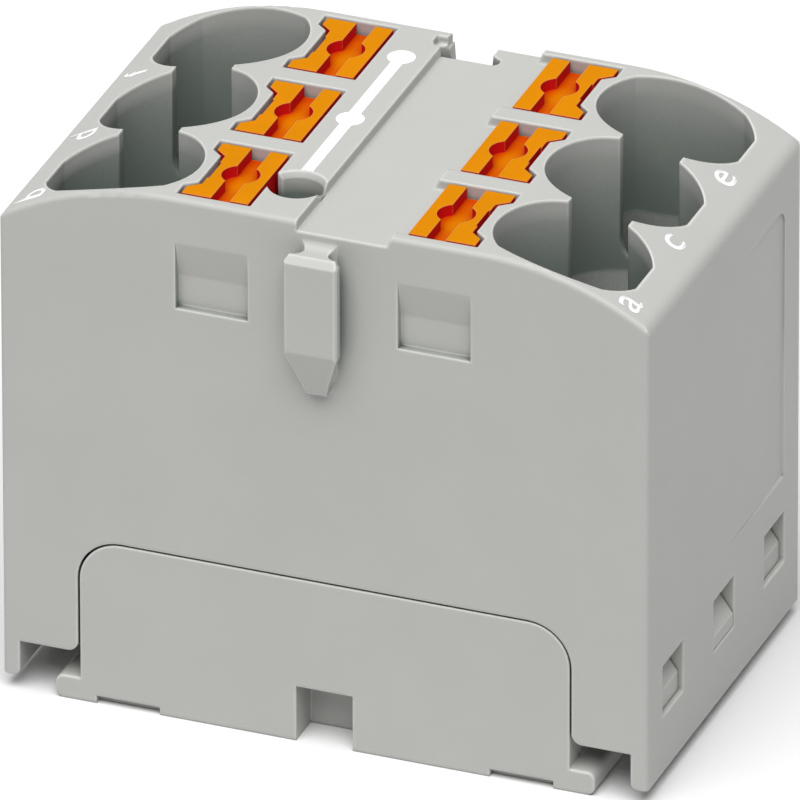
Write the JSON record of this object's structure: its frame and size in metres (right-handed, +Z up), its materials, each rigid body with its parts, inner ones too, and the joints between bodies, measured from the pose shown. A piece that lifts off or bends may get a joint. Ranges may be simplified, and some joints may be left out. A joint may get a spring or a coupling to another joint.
{
  "type": "power distribution block",
  "caption": "Push-in distribution block: wires clamp in funnels on two banks over a common current bar and are freed by sprung push buttons.",
  "frame": {"origin": "middle of the foot's underside, centred on the block's length and on its three rows", "axes": "+X across the banks to the right-hand bank (a, c, e), +Y from the pin side to the slot side, +Z up out of the conductor entries"},
  "size_m": [0.025, 0.0166, 0.0213],
  "materials": {
    "housing_grey": "fine matt grey polyamide",
    "base_grey": "fine matt grey polyamide",
    "button_orange": "satin orange polyamide",
    "contact_metal": "tin-plated copper, satin",
    "spring_steel": "bright rolled spring steel"
  },
  "bodies": {
    "block": {"housing": "housing_grey", "base_plate": "base_grey", "current_bar": "contact_metal", "spring_a": "spring_steel", "spring_b": "spring_steel", "spring_c": "spring_steel", "spring_d": "spring_steel", "spring_e": "spring_steel", "spring_f": "spring_steel"},
    "button_a": {"button_a": "button_orange"},
    "button_b": {"button_b": "button_orange"},
    "button_c": {"button_c": "button_orange"},
    "button_d": {"button_d": "button_orange"},
    "button_e": {"button_e": "button_orange"},
    "button_f": {"button_f": "button_orange"}
  },
  "joints": [
    {"name": "press_a", "type": "slide", "parent": "block", "child": "button_a", "axis": [0, 0, -1], "range_m": [0, 0.0015], "stiffness_N_per_m": 1500, "deforming": ["spring_a"]},
    {"name": "press_b", "type": "slide", "parent": "block", "child": "button_b", "axis": [0, 0, -1], "range_m": [0, 0.0015], "stiffness_N_per_m": 1500, "deforming": ["spring_b"]},
    {"name": "press_c", "type": "slide", "parent": "block", "child": "button_c", "axis": [0, 0, -1], "range_m": [0, 0.0015], "stiffness_N_per_m": 1500, "deforming": ["spring_c"]},
    {"name": "press_d", "type": "slide", "parent": "block", "child": "button_d", "axis": [0, 0, -1], "range_m": [0, 0.0015], "stiffness_N_per_m": 1500, "deforming": ["spring_d"]},
    {"name": "press_e", "type": "slide", "parent": "block", "child": "button_e", "axis": [0, 0, -1], "range_m": [0, 0.0015], "stiffness_N_per_m": 1500, "deforming": ["spring_e"]},
    {"name": "press_f", "type": "slide", "parent": "block", "child": "button_f", "axis": [0, 0, -1], "range_m": [0, 0.0015], "stiffness_N_per_m": 1500, "deforming": ["spring_f"]}
  ]
}
